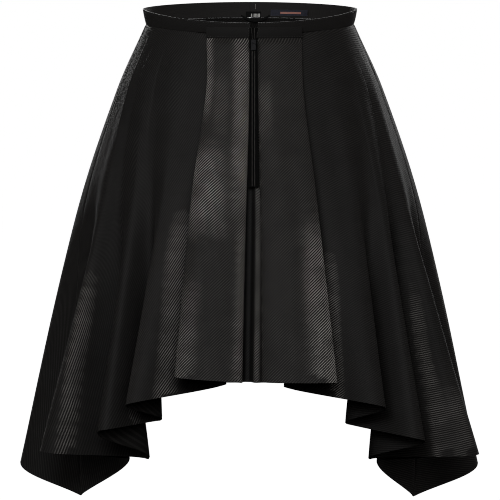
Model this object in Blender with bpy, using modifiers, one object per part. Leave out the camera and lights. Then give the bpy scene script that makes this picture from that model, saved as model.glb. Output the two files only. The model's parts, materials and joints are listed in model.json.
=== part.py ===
"""A pleated skirt of heavy black twill, filled out as if worn, in metres with +Z up and its front to -Y.

The origin is the middle of the waist, at the height of the waist seam on the sides. Each cloth
panel is a wall that runs down from the waist through a chain of folds. A row of the fold tables
gives where one fold lies at the waist, at the hip, at mid length and at the hem.
"""

import math
from collections import namedtuple

import bmesh
import bpy
import numpy as np

MM = 0.001

# Cloth and seams
WALL = 1.8 * MM
SEAM_GAP = 0.3 * MM
COLUMNS_PER_FOLD, COLUMNS_PER_CREASE = 6, 10
BAND_COLUMNS, CENTRE_BAND_COLUMNS = 26, 8
EDGE_STEP = 0.03
CREASE_TURN, CREASE_PULL = 4.5, 1.9
LEVELS = (0.0, 0.15, 0.45, 1.0)
ROWS_DOWN = (0.0, 0.05, 0.11, 0.18, 0.26, 0.35, 0.45, 0.56, 0.67, 0.78, 0.89, 1.0)

# Half width and half depth of the smooth rings that the folds stand on, in mm
Ring = namedtuple("Ring", "half_width half_front half_back")
WAIST = Ring(124.8, 92.4, 92.4)
HIP = Ring(160.0, 118.0, 120.0)
MID = Ring(209.0, 160.0, 160.0)

# Heights of the waist seam and of the band's top edge, in mm, at the front, sides and back
SEAM_FRONT, SEAM_SIDE, SEAM_BACK = -8.0, 0.0, 3.0
TOP_FRONT, TOP_SIDE, TOP_BACK = 5.5, 18.0, 21.6
BAND_FLARE = 3.7
CENTRE_BAND_TOP, CENTRE_BAND_FOOT = 0.4, -12.6
CENTRE_BAND_OUT = 5.8
PANEL_TOP = -13.5

# The zip, in mm: its middle lies a little to the right of the middle of the skirt
ZIP_MIDDLE = 4.05
ZIP_CREASE_GAP = 0.35
ZIP_TAPE_THICK = 1.2
ZIP_TAPE_OUT = 3.4
ZIP_TOP, ZIP_LENGTH_SHARE = -0.5, 0.43
TAPE_ROWS = 8
SLIDER_SHARE, SLIDER_GAP, SLOPE_STEP = 0.013, 0.45, 0.01
SLIDER_EDGE = 0.4
SLIDER_WIDTH, SLIDER_TALL, SLIDER_THICK = 6.4, 8.0, 2.4
TAB_WIDTH, TAB_LENGTH, TAB_THICK = 5.4, 10.5, 1.0
TAB_WINDOW_WIDTH, TAB_WINDOW_LENGTH = 2.6, 3.2
CROWN_WIDTH, CROWN_OUTER, CROWN_INNER = 1.4, 2.3, 1.4
CROWN_REACH, CROWN_THICK = 0.95, 0.85

# A fold: degrees from the centre front and mm outside the ring at the waist, hip and mid length,
# its place at the hem in mm (outward from the centre plane, depth, height), and the radius of the
# cloth's turn at the waist and at the hem
Fold = namedtuple(
    "Fold",
    "name waist_deg hip_deg mid_deg waist_out hip_out mid_out hem_x hem_y hem_z turn_top turn_hem",
)

LEFT_FOLDS = (
    Fold("return end", 7.4, 5.8, 6.4, 0.2, 0.2, 0.0, 28, -198, -415, 3, 3),
    Fold("pleat crease", 0.4, 0.3, 0.9, 3.4, 3.6, 3.4, 9, -204, -415, 3.8, 3.8),
    Fold("panel edge", 23.8, 18.4, 18.5, 4.0, 4.6, 9, 89, -200, -408, 3.4, 5),
    Fold("first trough", 17.6, 12.6, 11.5, -0.6, -1.6, -12, 30, -155, -421, 1.2, 6),
    Fold("first flare", 36, 31, 29.5, 0, 0, 4, 146, -184, -442, 40, 13),
    Fold("second trough", 46, 42, 35, 0, 0, -7, 108, -132, -466, 40, 10),
    Fold("second flare", 54, 50, 41.5, 0, 0, 5, 179, -164, -475, 40, 13),
    Fold("third trough", 61, 58, 50, 0, 0, -8, 122, -97, -515, 40, 12),
    Fold("third flare", 68, 66, 57, 0, 0, 6, 250, -100, -505, 40, 16),
    Fold("fourth trough", 75, 74, 68, 0, 0, -8, 146, -48, -519, 40, 14),
    Fold("side point", 84, 84, 80, 0, 0, -2, 204, -16, -566, 40, 40),
    Fold("side flare", 94, 94, 91, 0, 0, 2, 277, 26, -530, 40, 20),
    Fold("back trough a", 104, 104, 104, 0, 0, -8, 190, 70, -507, 40, 18),
    Fold("back flare a", 113, 113, 115, 0, 0, 4, 246, 118, -497, 40, 20),
    Fold("back trough b", 123, 123, 127, 0, 0, -9, 138, 118, -480, 40, 18),
    Fold("back flare b", 134, 134, 137, 0, 0, 4, 186, 178, -466, 40, 20),
    Fold("back trough c", 145, 145, 149, 0, 0, -9, 92, 148, -448, 40, 18),
    Fold("back flare c", 157, 157, 160, 0, 0, 4, 108, 208, -434, 40, 20),
    Fold("back trough d", 169, 169, 171, 0, 0, -7, 38, 168, -424, 40, 16),
    Fold("centre back", 180, 180, 180, 0, 0, 2, 0, 200, -420, 40, 24),
)

RIGHT_FOLDS = (
    Fold("return end", 11.4, 9.2, 9.2, 0.2, 0.2, 0.0, 33, -198, -415, 3, 3),
    Fold("pleat crease", 4.2, 3.4, 3.1, 3.4, 3.6, 3.4, 14, -204, -414, 3.8, 3.8),
    Fold("panel edge", 28.7, 22.7, 21.2, 4.0, 4.6, 9, 103, -200, -415, 3.4, 5),
    Fold("first trough", 21.6, 16.0, 13.5, -0.6, -1.6, -12, 42, -155, -424, 1.2, 6),
    Fold("first flare", 41, 38, 36.5, 0, 0, 4, 160, -184, -445, 40, 13),
    Fold("second trough", 49, 47, 43, 0, 0, -6, 116, -132, -470, 40, 10),
    Fold("second flare", 56, 54, 49, 0, 0, 5, 206, -158, -487, 40, 13),
    Fold("third trough", 62, 60, 55, 0, 0, -8, 143, -97, -515, 40, 12),
    Fold("third flare", 69, 68, 63, 0, 0, 6, 273, -88, -510, 40, 16),
    Fold("fourth trough", 76, 76, 72, 0, 0, -7, 153, -46, -521, 40, 14),
    Fold("side point", 84, 84, 81, 0, 0, -2, 197, -18, -567, 40, 40),
    Fold("side flare", 94, 94, 91, 0, 0, 2, 275, 26, -531, 40, 20),
    Fold("back trough a", 104, 104, 104, 0, 0, -8, 190, 70, -507, 40, 18),
    Fold("back flare a", 113, 113, 115, 0, 0, 4, 248, 116, -499, 40, 20),
    Fold("back trough b", 123, 123, 127, 0, 0, -9, 142, 116, -482, 40, 18),
    Fold("back flare b", 134, 134, 137, 0, 0, 4, 192, 174, -468, 40, 20),
    Fold("back trough c", 145, 145, 149, 0, 0, -9, 96, 146, -450, 40, 18),
    Fold("back flare c", 157, 157, 160, 0, 0, 4, 112, 206, -436, 40, 20),
    Fold("back trough d", 169, 169, 171, 0, 0, -7, 40, 168, -425, 40, 16),
    Fold("centre back", 180, 180, 180, 0, 0, 2, 0, 200, -420, 40, 24),
)

# Where along the chain of folds the panels are sewn together
PANEL_SEAM = 2.5
UNDER_BAND = 3.25
SIDE_SEAM = 10.0
CENTRE_BACK = float(len(LEFT_FOLDS) - 1)

# The underlay of the inverted pleat starts behind the zip. It dips back beside the left pleat
# edge, by these mm at its top and at the hem, and below the zip it rises again beside the right
# edge. Places and half widths are shares of its width.
UNDERLAY_TOP_SHARE = 0.26
UNDERLAY_DIP_TOP, UNDERLAY_DIP_HEM = 4.0, 9.5
UNDERLAY_DIP_AT, UNDERLAY_DIP_WIDE = 0.41, 0.095
UNDERLAY_RISE, UNDERLAY_RISE_AT, UNDERLAY_RISE_WIDE = 3.6, 0.55, 0.06
UNDERLAY_RISE_START, UNDERLAY_RISE_FULL = 0.45, 0.62
UNDERLAY_GAP = 0.4
UNDERLAY_COLUMNS = 20

# Labels and loop on the inside of the back band: from x, to x, foot and top heights, thickness
Patch = namedtuple("Patch", "name left right foot top thick material")
PATCHES = (
    Patch("woven_label", 25.0, 70.0, 5.4, 12.8, 0.6, "label"),
    Patch("size_tab", -5.0, 13.0, 3.4, 10.4, 0.6, "tab"),
)
LOOP_LEFT, LOOP_RIGHT, LOOP_HEIGHT = -11.0, 24.2, 4.0
LOOP_SAG, LOOP_TALL, LOOP_THICK, LOOP_STAND = 6.0, 2.8, 0.8, 2.6
PATCH_COLUMNS, LOOP_COLUMNS = 6, 12

# Colours as linear values, with roughness and metallic
FINISHES = {
    "twill": ((0.018, 0.017, 0.017, 1.0), 0.85, 0.0),
    "band": ((0.016, 0.015, 0.015, 1.0), 0.85, 0.0),
    "zip_tape": ((0.010, 0.010, 0.010, 1.0), 0.7, 0.0),
    "zip_metal": ((0.030, 0.030, 0.032, 1.0), 0.4, 0.9),
    "label": ((0.018, 0.022, 0.040, 1.0), 0.8, 0.0),
    "tab": ((0.012, 0.012, 0.013, 1.0), 0.8, 0.0),
}


def hermite(start, end, start_pull, end_pull, share):
    """A point on the cubic between two ends, with the pull of each end given."""
    s2, s3 = share * share, share**3
    return (
        (2 * s3 - 3 * s2 + 1) * start
        + (s3 - 2 * s2 + share) * start_pull
        + (3 * s2 - 2 * s3) * end
        + (s3 - s2) * end_pull
    )


def down_the_length(values, share):
    """Smooth value between those at the waist, hip, mid length and hem."""
    slopes = []
    for i in range(len(LEVELS)):
        before, after = max(i - 1, 0), min(i + 1, len(LEVELS) - 1)
        slopes.append((values[after] - values[before]) / (LEVELS[after] - LEVELS[before]))
    i = max(k for k in range(len(LEVELS) - 1) if LEVELS[k] <= share)
    span = LEVELS[i + 1] - LEVELS[i]
    return hermite(
        values[i], values[i + 1], slopes[i] * span, slopes[i + 1] * span, (share - LEVELS[i]) / span
    )


def around(front, side, back, forward):
    """Smooth value round the waist, where forward is 1 at the front, 0 at the side, -1 at the back."""
    if forward > 0:
        return side + (front - side) * forward**1.5
    return side + (back - side) * (-forward) ** 1.5


def on_ring(ring, degrees, out):
    """Place on a ring, and a distance outside it, for a direction seen from above."""
    angle = math.radians(degrees)
    forward = math.cos(angle)
    depth = ring.half_front if forward > 0 else ring.half_back
    x, y = ring.half_width * math.sin(angle), -depth * forward
    normal = np.array((x / ring.half_width**2, y / depth**2))
    return np.array((x, y)) + out * normal / np.linalg.norm(normal)


def fold_place(fold, share):
    """Where a fold's tip lies in plan at a share of the way down."""
    at_waist = on_ring(WAIST, fold.waist_deg, fold.waist_out)
    at_hip = on_ring(HIP, fold.hip_deg, fold.hip_out)
    at_mid = on_ring(MID, fold.mid_deg, fold.mid_out)
    at_hem = np.array((fold.hem_x, fold.hem_y), float)
    return down_the_length((at_waist, at_hip, at_mid, at_hem), share)


def unit(vector):
    return vector / max(np.linalg.norm(vector), 1e-9)


def pull_towards(places, k, length, turn):
    """The pull at fold k, along its tip, for a neighbour at this distance."""
    if k == 0:
        direction = unit(places[1] - places[0])
    elif k == len(places) - 1:
        direction = np.array((-1.0, 0.0))
    else:
        direction = unit(unit(places[k] - places[k - 1]) + unit(places[k + 1] - places[k]))
    most = length * (CREASE_PULL if turn < CREASE_TURN else 1.0)
    return direction * min(math.sqrt(6 * turn * length), most)


def chain_point(folds, along, share):
    """A point of the outer face in mm: along counts folds from the centre front."""
    places = [fold_place(fold, share) for fold in folds]
    k = min(int(along), len(folds) - 2)
    part = along - k
    first, last = folds[k], folds[k + 1]
    length = np.linalg.norm(places[k + 1] - places[k])
    turns = [f.turn_top + (f.turn_hem - f.turn_top) * share for f in (first, last)]
    x, y = hermite(
        places[k],
        places[k + 1],
        pull_towards(places, k, length, turns[0]),
        pull_towards(places, k + 1, length, turns[1]),
        part,
    )
    hem = first.hem_z + (last.hem_z - first.hem_z) * part
    return np.array((x, y, top_height(folds, along) * (1 - share) + hem * share))


def top_height(folds, along):
    """Height of a panel's top edge: under the centre band, or else at the seam."""
    if along <= UNDER_BAND:
        return PANEL_TOP
    k = min(int(along), len(folds) - 2)
    degrees = folds[k].waist_deg + (folds[k + 1].waist_deg - folds[k].waist_deg) * (along - k)
    forward = math.cos(math.radians(degrees))
    return around(SEAM_FRONT, SEAM_SIDE, SEAM_BACK, forward) - SEAM_GAP / MM


def panel_rows(folds, side, start, end):
    """Rows of outer points of one panel, its two edges drawn in by half a seam gap."""
    per_fold = COLUMNS_PER_CREASE if start == 0 else COLUMNS_PER_FOLD
    count = int(round((end - start) * per_fold))
    steps = list(np.linspace(start, end, count + 1))
    steps = [start, start + EDGE_STEP] + steps[1:-1] + [end - EDGE_STEP, end]
    rows = []
    for share in ROWS_DOWN:
        row = [chain_point(folds, along, share) for along in steps]
        for edge, inner in ((0, 1), (-1, -2)):
            row[edge] = row[edge] + unit(row[inner] - row[edge]) * SEAM_GAP / MM / 2
        rows.append([(side * x * MM, y * MM, z * MM) for x, y, z in row])
    return rows


def clear_scene():
    for obj in list(bpy.data.objects):
        bpy.data.objects.remove(obj, do_unlink=True)


def material(name):
    found = bpy.data.materials.get(name)
    if found:
        return found
    colour, roughness, metallic = FINISHES[name]
    made = bpy.data.materials.new(name)
    made.use_nodes = True
    shader = made.node_tree.nodes["Principled BSDF"]
    shader.inputs["Base Color"].default_value = colour
    shader.inputs["Roughness"].default_value = roughness
    shader.inputs["Metallic"].default_value = metallic
    made.diffuse_color = colour
    return made


def add_object(name, mesh, finish, collection):
    obj = bpy.data.objects.new(name, mesh)
    mesh.materials.append(material(finish))
    collection.objects.link(obj)
    return obj


def loft(name, rows, finish, collection, thickness=WALL, flip=False):
    """An open sheet through rows of points, then a wall of this thickness to its inner side."""
    mesh = bpy.data.meshes.new(name)
    sheet = bmesh.new()
    points = [[sheet.verts.new(point) for point in row] for row in rows]
    for upper, lower in zip(points, points[1:]):
        for k in range(len(upper) - 1):
            corners = [upper[k], lower[k], lower[k + 1], upper[k + 1]]
            sheet.faces.new(reversed(corners) if flip else corners)
    sheet.normal_update()
    sheet.to_mesh(mesh)
    sheet.free()
    obj = add_object(name, mesh, finish, collection)
    wall = obj.modifiers.new("wall", "SOLIDIFY")
    wall.thickness = thickness
    wall.offset = -1.0
    return obj


def add_panels(collection):
    for side_name, side, folds in (("left", -1, LEFT_FOLDS), ("right", 1, RIGHT_FOLDS)):
        flip = side < 0
        stretches = (
            ("front_panel_", 0.0, PANEL_SEAM),
            ("side_front_", PANEL_SEAM, SIDE_SEAM),
            ("back_", SIDE_SEAM, CENTRE_BACK),
        )
        for prefix, start, end in stretches:
            rows = panel_rows(folds, side, start, end)
            loft(prefix + side_name, rows, "twill", collection, flip=flip)


def swell(across, middle, half_width):
    """A soft bump of height 1 at the middle."""
    return math.exp(-(((across - middle) / half_width) ** 2))


def underlay_behind(across, share):
    """How far the underlay lies behind the line between its two sewn edges, in mm."""
    down = (share - UNDERLAY_TOP_SHARE) / (1 - UNDERLAY_TOP_SHARE)
    dip = UNDERLAY_DIP_TOP + (UNDERLAY_DIP_HEM - UNDERLAY_DIP_TOP) * down
    risen = (share - UNDERLAY_RISE_START) / (UNDERLAY_RISE_FULL - UNDERLAY_RISE_START)
    rise = UNDERLAY_RISE * min(max(risen, 0.0), 1.0)
    return (
        UNDERLAY_GAP
        + dip * swell(across, UNDERLAY_DIP_AT, UNDERLAY_DIP_WIDE)
        - rise * swell(across, UNDERLAY_RISE_AT, UNDERLAY_RISE_WIDE)
    )


def underlay_rows():
    """The underlay of the inverted pleat, sewn at its edges to the turned-back front panels."""
    rows = []
    shares = [share for share in ROWS_DOWN if share >= UNDERLAY_TOP_SHARE]
    for share in shares:
        left = chain_point(LEFT_FOLDS, 0.0, share) * (-1, 1, 1)
        right = chain_point(RIGHT_FOLDS, 0.0, share)
        row = []
        for k in range(UNDERLAY_COLUMNS + 1):
            across = k / UNDERLAY_COLUMNS
            x, y, z = left + (right - left) * across
            row.append((x * MM, (y + underlay_behind(across, share)) * MM, z * MM))
        rows.append(row)
    return rows


def band_point(degrees, rise, out):
    """A point of the waistband's outer face: rise is 0 at its seam and 1 at its top edge."""
    x, y = on_ring(WAIST, degrees, out + BAND_FLARE * rise)
    forward = math.cos(math.radians(degrees))
    foot = around(SEAM_FRONT, SEAM_SIDE, SEAM_BACK, forward)
    top = around(TOP_FRONT, TOP_SIDE, TOP_BACK, forward)
    return x, y, foot + (top - foot) * rise


def add_waistbands(collection):
    """Two band pieces that meet at the centre back and stop short of the zip at the front."""
    for side_name, side, folds in (("left", -1, LEFT_FOLDS), ("right", 1, RIGHT_FOLDS)):
        start = folds[1].waist_deg
        steps = np.linspace(start, 180, BAND_COLUMNS + 1)
        rows = []
        for rise in (1.0, 0.5, 0.0):
            row = [np.array(band_point(degrees, rise, 0.0)) for degrees in steps]
            row[-1] = row[-1] + unit(row[-2] - row[-1]) * SEAM_GAP / MM / 2
            rows.append([(side * x * MM, y * MM, z * MM) for x, y, z in row])
        loft("waistband_" + side_name, rows, "band", collection, flip=side < 0)


def add_centre_bands(collection):
    """The outer band pieces over the tops of the two front panels."""
    for side_name, side, folds in (("left", -1, LEFT_FOLDS), ("right", 1, RIGHT_FOLDS)):
        start, end = folds[1].waist_deg, folds[2].waist_deg
        rows = []
        for height in (CENTRE_BAND_TOP, CENTRE_BAND_FOOT):
            row = []
            for degrees in np.linspace(start, end, CENTRE_BAND_COLUMNS + 1):
                x, y = on_ring(WAIST, degrees, CENTRE_BAND_OUT)
                row.append((side * x * MM, y * MM, height * MM))
            rows.append(row)
        loft("centre_band_" + side_name, rows, "band", collection, flip=side < 0)


def tape_place(share):
    """Depth and height of the zip tapes' outer face, in mm, at a share of the panels' length."""
    crease = chain_point(LEFT_FOLDS, 1.0, share)
    return np.array((crease[1] + LEFT_FOLDS[1].waist_out - ZIP_TAPE_OUT, crease[2]))


def add_zip_tapes(collection):
    """Two tapes that fill the gap between the front panels, from the middle out to the creases."""
    gap = SEAM_GAP / MM
    shares = list(np.linspace(0.0, ZIP_LENGTH_SHARE, TAPE_ROWS + 1))
    for side_name, side, folds in (("left", -1, LEFT_FOLDS), ("right", 1, RIGHT_FOLDS)):
        inner = ZIP_MIDDLE + side * gap / 2
        rows = []
        for share in [0.0] + shares:
            depth, height = tape_place(share)
            if not rows:
                height = ZIP_TOP
            outer = side * (chain_point(folds, 1.0, share)[0] - ZIP_CREASE_GAP)
            rows.append([(x * MM, depth * MM, height * MM) for x in sorted((inner, outer))])
        loft("zip_tape_" + side_name, rows, "zip_tape", collection, thickness=ZIP_TAPE_THICK * MM)


def patch_point(x, height, inward):
    """A point on the inside of the back band, moved in from the band's own points."""
    degrees = 180 - math.degrees(math.asin(x / WAIST.half_width))
    _, _, foot = band_point(degrees, 0.0, 0.0)
    _, _, top = band_point(degrees, 1.0, 0.0)
    rise = (height - foot) / (top - foot)
    px, py, _ = band_point(degrees, rise, -inward)
    return px * MM, py * MM, height * MM


def add_patches(collection):
    inward = (WALL + SEAM_GAP) / MM
    for patch in PATCHES:
        steps = np.linspace(patch.left, patch.right, PATCH_COLUMNS + 1)
        rows = [
            [patch_point(x, height, inward) for x in steps] for height in (patch.top, patch.foot)
        ]
        loft(patch.name, rows, patch.material, collection, patch.thick * MM, flip=True)


def add_loop(collection):
    """A flat ribbon loop that sags a little below its two sewn ends."""
    inward = (WALL + SEAM_GAP) / MM
    rows = []
    for edge in (1, 0):
        row = []
        for share in np.linspace(0.0, 1.0, LOOP_COLUMNS + 1):
            x = LOOP_LEFT + (LOOP_RIGHT - LOOP_LEFT) * share
            sag = LOOP_SAG * math.sin(math.pi * share)
            px, py, pz = patch_point(x, LOOP_HEIGHT, inward)
            stand_off = LOOP_STAND * math.sin(math.pi * share) * MM
            row.append((px, py - stand_off, pz + (edge * LOOP_TALL - sag) * MM))
        rows.append(row)
    loft("hanger_loop", rows, "tab", collection, LOOP_THICK * MM, flip=True)


def box_mesh(name, size, centre):
    mesh = bpy.data.meshes.new(name)
    cube = bmesh.new()
    bmesh.ops.create_cube(cube, size=1.0)
    bmesh.ops.scale(cube, vec=size, verts=cube.verts)
    bmesh.ops.translate(cube, vec=centre, verts=cube.verts)
    cube.to_mesh(mesh)
    cube.free()
    return mesh


def add_cutter(name, size, centre, cutters):
    cutter = bpy.data.objects.new(name, box_mesh(name, size, centre))
    cutter.hide_render = True
    cutter.display_type = "WIRE"
    cutters.objects.link(cutter)
    return cutter


def combine(obj, other, operation):
    joined = obj.modifiers.new(other.name, "BOOLEAN")
    joined.operation = operation
    joined.object = other


def round_edges(obj, width):
    bevel = obj.modifiers.new("soft edges", "BEVEL")
    bevel.width = width
    bevel.segments = 1


def add_slider(collection, cutters):
    """The slider with its crown, and the pull tab whose origin is on its hinge line."""
    place = tape_place(SLIDER_SHARE)
    depth_change, height_change = (
        tape_place(SLIDER_SHARE + SLOPE_STEP) - tape_place(SLIDER_SHARE - SLOPE_STEP)
    )
    lean = -math.atan2(-depth_change, -height_change)
    outward = np.array((-math.cos(lean), -math.sin(lean)))

    body = add_object(
        "zip_slider",
        box_mesh(
            "zip_slider",
            (SLIDER_WIDTH * MM, SLIDER_THICK * MM, SLIDER_TALL * MM),
            (0.0, -SLIDER_THICK / 2 * MM, 0.0),
        ),
        "zip_metal",
        collection,
    )
    round_edges(body, SLIDER_EDGE * MM)
    axis = SLIDER_THICK + CROWN_REACH
    crown_depth = axis + CROWN_REACH + CROWN_THICK - SLIDER_THICK / 2
    crown = add_cutter(
        "crown",
        (CROWN_WIDTH * MM, crown_depth * MM, 2 * CROWN_OUTER * MM),
        (0.0, -(SLIDER_THICK / 2 + crown_depth / 2) * MM, 0.0),
        cutters,
    )
    crown_hole = add_cutter(
        "crown_hole",
        (CROWN_WIDTH * 2 * MM, CROWN_REACH * 2 * MM, 2 * CROWN_INNER * MM),
        (0.0, -axis * MM, 0.0),
        cutters,
    )
    combine(body, crown, "UNION")
    combine(body, crown_hole, "DIFFERENCE")
    depth, height = place + outward * SLIDER_GAP
    body.location = (ZIP_MIDDLE * MM, depth * MM, height * MM)
    body.rotation_euler.x = lean
    for cutter in (crown, crown_hole):
        cutter.parent = body

    half = TAB_THICK / 2
    tab = add_object(
        "zip_pull",
        box_mesh(
            "zip_pull",
            (TAB_WIDTH * MM, TAB_THICK * MM, TAB_LENGTH * MM),
            (0.0, 0.0, (half - TAB_LENGTH / 2) * MM),
        ),
        "zip_metal",
        collection,
    )
    window = add_cutter(
        "tab_window",
        (TAB_WINDOW_WIDTH * MM, TAB_THICK * 3 * MM, TAB_WINDOW_LENGTH * MM),
        (0.0, 0.0, (-half - TAB_WINDOW_LENGTH / 2) * MM),
        cutters,
    )
    combine(tab, window, "DIFFERENCE")
    depth, height = place + outward * (SLIDER_GAP + axis)
    tab.location = (ZIP_MIDDLE * MM, depth * MM, height * MM)
    tab.rotation_euler.x = lean
    window.parent = tab


def build():
    clear_scene()
    skirt = bpy.data.collections.new("pleated_skirt")
    cutters = bpy.data.collections.new("cutters")
    for collection in (skirt, cutters):
        bpy.context.scene.collection.children.link(collection)
    add_panels(skirt)
    loft("pleat_underlay", underlay_rows(), "twill", skirt)
    add_waistbands(skirt)
    add_centre_bands(skirt)
    add_zip_tapes(skirt)
    add_patches(skirt)
    add_loop(skirt)
    add_slider(skirt, cutters)


build()
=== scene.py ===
# %% [markdown]
# # A pleated skirt in black cavalry twill
#
# This lesson dresses a plain solid model of a skirt in cloth. The solids hold the sizes and the
# pattern pieces. Here each piece gets a thin cloth of its own, with its weave, creases, seams,
# stitches and zip. The scene starts empty, and the solids are loaded as a fixed frame.

# %% Empty the scene and load the solids
import json
import math
from collections import namedtuple

import bmesh
import bpy
import numpy as np
from mathutils import Matrix, Vector, noise

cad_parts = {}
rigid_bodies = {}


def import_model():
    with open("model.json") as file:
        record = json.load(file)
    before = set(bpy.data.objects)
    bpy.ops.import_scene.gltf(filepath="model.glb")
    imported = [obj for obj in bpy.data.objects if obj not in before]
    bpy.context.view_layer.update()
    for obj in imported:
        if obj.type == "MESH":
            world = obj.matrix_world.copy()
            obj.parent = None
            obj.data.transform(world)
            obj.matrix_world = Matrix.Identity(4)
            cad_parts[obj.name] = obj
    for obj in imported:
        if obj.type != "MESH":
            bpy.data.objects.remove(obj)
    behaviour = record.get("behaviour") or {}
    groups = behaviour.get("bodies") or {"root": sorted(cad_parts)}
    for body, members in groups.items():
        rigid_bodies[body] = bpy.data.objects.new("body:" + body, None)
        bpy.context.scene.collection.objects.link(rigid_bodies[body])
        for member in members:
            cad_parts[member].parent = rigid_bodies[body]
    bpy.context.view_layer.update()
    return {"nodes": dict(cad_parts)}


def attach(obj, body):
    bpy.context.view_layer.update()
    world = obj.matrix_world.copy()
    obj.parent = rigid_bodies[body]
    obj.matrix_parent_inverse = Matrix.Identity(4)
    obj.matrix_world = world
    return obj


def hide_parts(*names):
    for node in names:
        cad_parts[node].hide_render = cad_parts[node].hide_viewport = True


for leftover in list(bpy.data.objects):
    bpy.data.objects.remove(leftover, do_unlink=True)

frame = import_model()
MM = 0.001

# %% [markdown]
# The photograph was taken from just above the middle of the skirt, a long way back, so a long
# lens at 12 metres gives the same flat look. One pixel of the picture is 1.2 mm at the skirt.

# %% Camera
PIXEL_MM = 1.2
PICTURE_SIDE = 500
CAMERA_AWAY = 12.0
CAMERA_UP = math.radians(4.0)
SENSOR_MM = 36.0
SEAM_ROW, PICTURE_MIDDLE = 24, 250

camera_data = bpy.data.cameras.new("camera")
camera_data.sensor_width = SENSOR_MM
camera_data.lens = CAMERA_AWAY * SENSOR_MM / (PICTURE_SIDE * PIXEL_MM * MM)
camera_data.clip_end = 100.0
camera = bpy.data.objects.new("camera", camera_data)
bpy.context.scene.collection.objects.link(camera)
aim_height = -(PICTURE_MIDDLE - SEAM_ROW) * PIXEL_MM * MM / math.cos(CAMERA_UP)
camera.location = (
    0.0,
    -CAMERA_AWAY * math.cos(CAMERA_UP),
    aim_height + CAMERA_AWAY * math.sin(CAMERA_UP),
)
camera.rotation_euler = (math.pi / 2 - CAMERA_UP, 0.0, 0.0)
bpy.context.scene.camera = camera
print("lens in mm:", round(camera_data.lens))

# %% [markdown]
# Colours are written as they look on a screen, and one function turns them into the linear
# values that a shader wants. A second function adds a node: its plain settings go in as
# attributes, and its sockets get either a value or a link from another socket.

# %% Two helpers for materials


def linear(hex_colour):
    """Linear red, green, blue and alpha from a screen colour such as #1a1a1a."""
    values = [int(hex_colour[k : k + 2], 16) / 255 for k in (1, 3, 5)]
    return [v / 12.92 if v <= 0.04045 else ((v + 0.055) / 1.055) ** 2.4 for v in values] + [1.0]


def add_node(tree, kind, sockets=None, **settings):
    """A new node with its settings, whose sockets take a value or another node's output."""
    node = tree.nodes.new(kind)
    for name, value in settings.items():
        setattr(node, name, value)
    for socket, value in (sockets or {}).items():
        if isinstance(value, bpy.types.NodeSocket):
            tree.links.new(value, node.inputs[socket])
        else:
            node.inputs[socket].default_value = value
    return node


print("black cloth, linear:", [round(v, 4) for v in linear("#1c1b1b")])

# %% [markdown]
# The cloth is a worsted cavalry twill: hard, smooth wool yarn, woven so tight that the long
# floats stand up as steep ridges. It is dyed black, so nearly all that the eye gets from it is
# the shine along each ridge. The weave can't come from an image, and it has to run true on the
# flat cut and turn with it round the body, so it reads a UV map that holds the flat cut in
# metres. The ridges are 2.5 mm apart, as measured in the picture.

# Where the cloth was pressed or rubbed its ridges shine, and there the ridge colour is a light grey
# that is a painted highlight. A number at each point of the mesh says how much: 1 for bright
# ridges, 0 for plain cloth, and below 0 the colour goes towards black as painted shade, as in the
# shade of a fold. Plain cloth keeps a faint ridge too.

# %% Black worsted twill
RIDGE_MM = 2.52
TWILL_ANGLE = math.radians(45)
WAVE_AT_ONE = 2 * math.pi / 20
YARN_MM = 0.9
CUT_MAP = "flat cut"
SHINE_AND_PAINTED_LIGHT = "pressed shine and painted light"
# Painted shade: where the number is below 0, the groove colour goes towards this black.
PAINTED_SHADE_BLACK = "#040404"
FAINT_SHINE = 0.03
YARN_SHARE = 0.22
CREST_FROM, CREST_FULL = 0.42, 0.9
LEAST_RELIEF = 0.4


def reckon(tree, operation, *values, clamp=False):
    """One sum on sockets and plain numbers. It gives back the socket that holds the result."""
    sockets = dict(enumerate(values))
    made = add_node(tree, "ShaderNodeMath", sockets, operation=operation, use_clamp=clamp)
    return made.outputs["Value"]


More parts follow.
